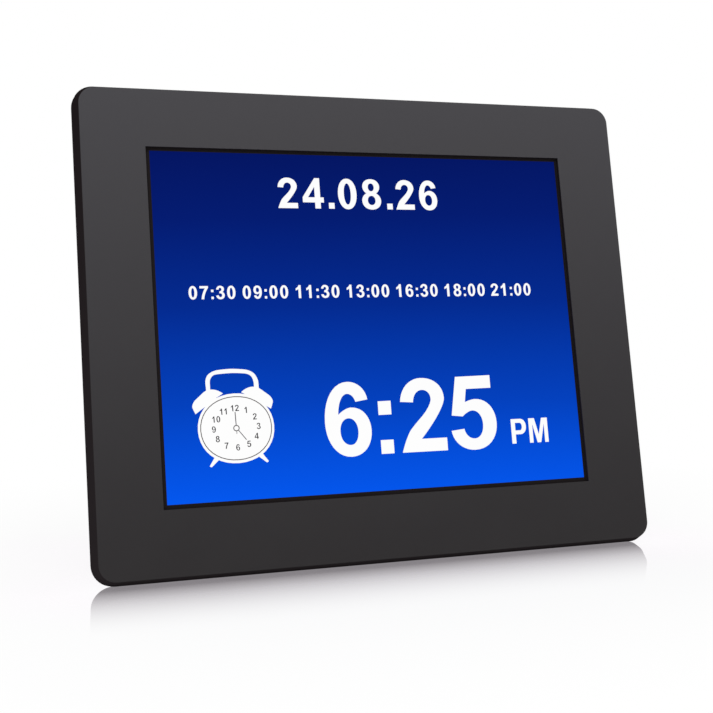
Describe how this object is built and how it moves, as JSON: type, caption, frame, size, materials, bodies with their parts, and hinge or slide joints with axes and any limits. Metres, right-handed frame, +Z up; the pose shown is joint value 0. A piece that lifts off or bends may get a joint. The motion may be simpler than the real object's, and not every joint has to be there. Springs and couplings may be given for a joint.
{
  "type": "day clock",
  "caption": "Free-standing digital day clock: a wide lit screen in a flat dark frame with rounded corners, leaning back on a fold-out leg, with push-buttons on its back.",
  "frame": {"origin": "middle of the floor under the clock, where the lower edge of the frame and the foot of the open leg both stand", "axes": "+Z up, -Y the way the screen faces, +X to the right of someone who reads it"},
  "size_m": [0.214, 0.0736, 0.1701],
  "materials": {
    "bezel_plastic": "fine satin, dark grey",
    "foam": "soft open foam, black",
    "sheet_steel": "bright rolled sheet",
    "screen_glass": "clear front over a lit blue picture",
    "white_plastic": "matt white",
    "clear_film": "clear and polished",
    "led_white": "white with a yellow tint",
    "ribbon_film": "amber film",
    "circuit_board": "green solder mask",
    "chip_black": "moulded black",
    "connector_ivory": "ivory nylon",
    "capacitor_can": "drawn can",
    "socket_plastic": "black nylon",
    "cell_steel": "bright",
    "pin_brass": "nickel-plated",
    "speaker_steel": "black paint",
    "speaker_paper": "pressed paper",
    "magnet_iron": "ground iron",
    "lead_rubber": "smooth insulation",
    "button_plastic": "satin black",
    "plunger_plastic": "smooth nylon",
    "switch_plastic": "black nylon",
    "cover_plastic": "fine texture, near black",
    "screw_steel": "black zinc",
    "pin_steel": "ground rod",
    "leg_plastic": "fine texture, near black",
    "foot_rubber": "soft matt rubber"
  },
  "bodies": {
    "clock_body": {"front_bezel": "bezel_plastic", "dust_gasket": "foam", "panel_pads": "foam", "panel_frame": "sheet_steel", "panel_tray": "sheet_steel", "lcd_cell": "screen_glass", "mould_frame": "white_plastic", "reflector_sheet": "white_plastic", "diffuser_film": "clear_film", "prism_film": "clear_film", "light_guide": "clear_film", "led_strip": "led_white", "display_ribbon": "ribbon_film", "button_ribbon": "ribbon_film", "main_board": "circuit_board", "button_board": "circuit_board", "board_chips": "chip_black", "board_connectors": "connector_ivory", "board_capacitors": "capacitor_can", "clock_crystal": "capacitor_can", "cell_holder": "socket_plastic", "power_socket": "socket_plastic", "coin_cell": "cell_steel", "socket_pin": "pin_brass", "speaker_basket": "speaker_steel", "speaker_cone": "speaker_paper", "speaker_magnet": "magnet_iron", "speaker_leads": "lead_rubber", "tact_switches": "switch_plastic", "rear_cover": "cover_plastic", "case_screws": "screw_steel", "board_screws": "screw_steel", "hinge_pin": "pin_steel"},
    "stand": {"stand_leg": "leg_plastic", "foot_pad": "foot_rubber"},
    "power_button": {"button_power": "button_plastic", "plunger_power": "plunger_plastic"},
    "menu_button": {"button_menu": "button_plastic", "plunger_menu": "plunger_plastic"},
    "left_button": {"button_left": "button_plastic", "plunger_left": "plunger_plastic"},
    "up_button": {"button_up": "button_plastic", "plunger_up": "plunger_plastic"},
    "down_button": {"button_down": "button_plastic", "plunger_down": "plunger_plastic"},
    "right_button": {"button_right": "button_plastic", "plunger_right": "plunger_plastic"}
  },
  "joints": [
    {"name": "stand_fold", "type": "hinge", "parent": "clock_body", "child": "stand", "pos_m": [0, 0.00572, 0.10651], "axis": [1, 0, 0], "range_deg": [-26.5, 0]},
    {"name": "press_power", "type": "slide", "parent": "clock_body", "child": "power_button", "axis": [0, -0.9799, 0.1994], "range_m": [0, 0.0005], "stiffness_N_per_m": 1200, "springref_m": -0.0003},
    {"name": "press_menu", "type": "slide", "parent": "clock_body", "child": "menu_button", "axis": [0, -0.9799, 0.1994], "range_m": [0, 0.0005], "stiffness_N_per_m": 1200, "springref_m": -0.0003},
    {"name": "press_left", "type": "slide", "parent": "clock_body", "child": "left_button", "axis": [0, -0.9799, 0.1994], "range_m": [0, 0.0005], "stiffness_N_per_m": 1200, "springref_m": -0.0003},
    {"name": "press_up", "type": "slide", "parent": "clock_body", "child": "up_button", "axis": [0, -0.9799, 0.1994], "range_m": [0, 0.0005], "stiffness_N_per_m": 1200, "springref_m": -0.0003},
    {"name": "press_down", "type": "slide", "parent": "clock_body", "child": "down_button", "axis": [0, -0.9799, 0.1994], "range_m": [0, 0.0005], "stiffness_N_per_m": 1200, "springref_m": -0.0003},
    {"name": "press_right", "type": "slide", "parent": "clock_body", "child": "right_button", "axis": [0, -0.9799, 0.1994], "range_m": [0, 0.0005], "stiffness_N_per_m": 1200, "springref_m": -0.0003}
  ]
}
